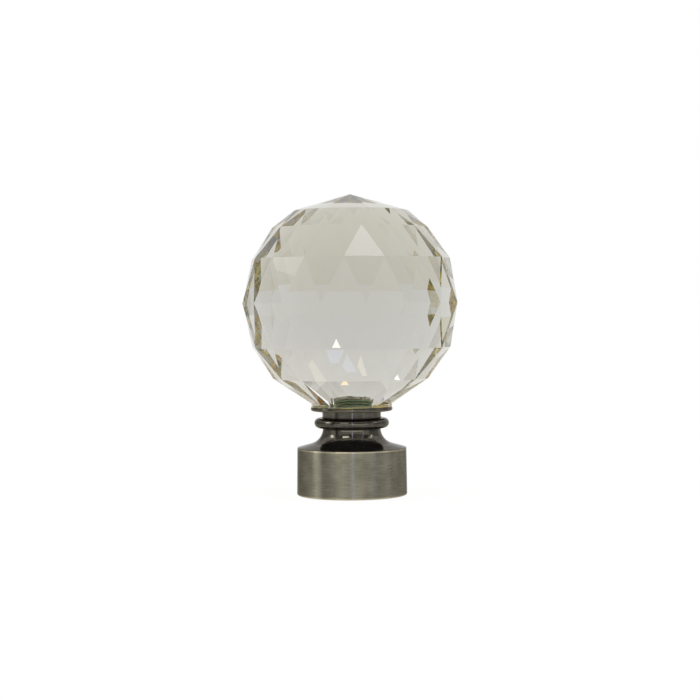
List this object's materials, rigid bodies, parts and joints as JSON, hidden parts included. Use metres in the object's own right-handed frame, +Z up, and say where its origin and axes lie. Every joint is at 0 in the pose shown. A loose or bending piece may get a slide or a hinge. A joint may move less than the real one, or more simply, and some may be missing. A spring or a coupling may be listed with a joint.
{
  "type": "ball finial",
  "caption": "Faceted clear glass ball on a turned antiqued metal end cap that sleeves over a curtain pole and is locked by a grub screw at the back.",
  "frame": {"origin": "centre of the pole socket's mouth, on the face that the cap stands on", "axes": "+Z up the common axis of cap and ball; the grub screw faces +Y and the front faces -Y"},
  "size_m": [0.0594, 0.0594, 0.083],
  "materials": {
    "cut_glass": "polished facets",
    "plated_stud": "rolled thread, dull plating",
    "cured_glue": "cured, uneven",
    "antiqued_brass": "turned, dark patina, brushed drum and polished mouldings",
    "blackened_screw": "black oxide"
  },
  "bodies": {
    "root": {"crystal_ball": "cut_glass", "threaded_stud": "plated_stud", "glue_fill": "cured_glue", "end_cap": "antiqued_brass", "grub_screw": "blackened_screw"}
  },
  "joints": []
}
